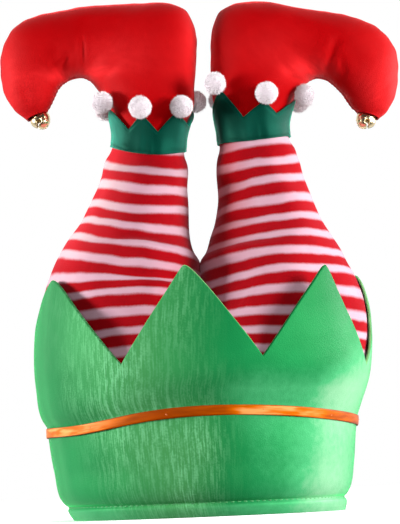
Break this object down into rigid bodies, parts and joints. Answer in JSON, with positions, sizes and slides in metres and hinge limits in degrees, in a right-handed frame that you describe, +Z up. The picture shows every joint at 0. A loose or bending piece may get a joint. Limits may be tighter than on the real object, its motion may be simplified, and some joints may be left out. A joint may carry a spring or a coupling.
{
  "type": "elf legs plush hat",
  "caption": "Soft party hat: a green zigzag head band carrying stuffed striped legs that stand upside down and end in pompom collars and curled shoes with jingle bells.",
  "frame": {"origin": "centre of the head opening, on the flat rim", "axes": "+Z up out of the head opening towards the shoes, -Y towards the front of the hat, +X towards the right-hand shoe as seen from the front"},
  "size_m": [0.2807, 0.2347, 0.3614],
  "materials": {
    "band": "green velvet with a shimmer",
    "ribbon": "orange satin",
    "leg": "red and white striped jersey",
    "shoe": "red velvet",
    "collar": "dark green satin",
    "pompom": "white cut yarn",
    "bell": "polished gold"
  },
  "bodies": {
    "root": {"head_band": "band", "ribbon": "ribbon", "leg_left": "leg", "leg_right": "leg", "shoe_left": "shoe", "shoe_right": "shoe", "collar_left": "collar", "collar_right": "collar", "pompom_left_1": "pompom", "pompom_left_2": "pompom", "pompom_left_3": "pompom", "pompom_left_4": "pompom", "pompom_left_5": "pompom", "pompom_left_6": "pompom", "pompom_right_1": "pompom", "pompom_right_2": "pompom", "pompom_right_3": "pompom", "pompom_right_4": "pompom", "pompom_right_5": "pompom", "pompom_right_6": "pompom", "bell_left": "bell", "bell_right": "bell"}
  },
  "joints": []
}
